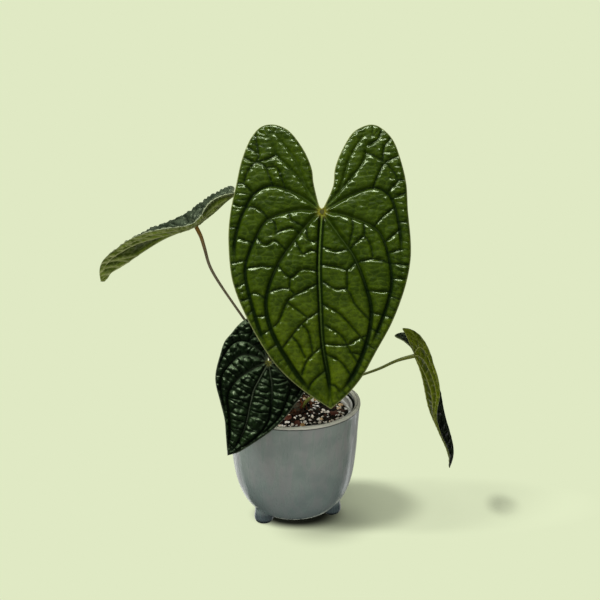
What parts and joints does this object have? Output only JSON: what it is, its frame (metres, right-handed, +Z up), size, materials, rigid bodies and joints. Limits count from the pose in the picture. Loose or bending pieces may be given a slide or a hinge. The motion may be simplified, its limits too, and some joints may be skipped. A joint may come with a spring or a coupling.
{
  "type": "potted anthurium luxurians",
  "caption": "Potted anthurium with quilted heart-shaped leaves on thin stalks, in a grower's pot inside a round glazed pot on small ball feet.",
  "frame": {"origin": "centre of the whole plant's footprint, at the height of the surface the feet stand on", "axes": "+Z up; -Y faces the viewer of the front leaf; +X to that viewer's right, where the drooping leaf hangs"},
  "size_m": [0.3632, 0.1826, 0.414],
  "materials": {
    "glaze": "gloss",
    "pot_plastic": "satin",
    "mix": "matte",
    "crown": "matte",
    "blade_olive": "satin",
    "blade_dark": "satin",
    "blade_grey": "satin",
    "blade_green": "satin",
    "stalk_brown": "satin",
    "stalk_green": "satin"
  },
  "bodies": {
    "root": {"ceramic_pot": "glaze", "nursery_pot": "pot_plastic", "potting_mix": "mix", "crown": "crown", "blade_front": "blade_olive", "blade_low": "blade_dark", "blade_left": "blade_grey", "blade_right": "blade_green", "petiole_front": "stalk_brown", "petiole_left": "stalk_brown", "petiole_low": "stalk_green", "petiole_right": "stalk_green"}
  },
  "joints": []
}
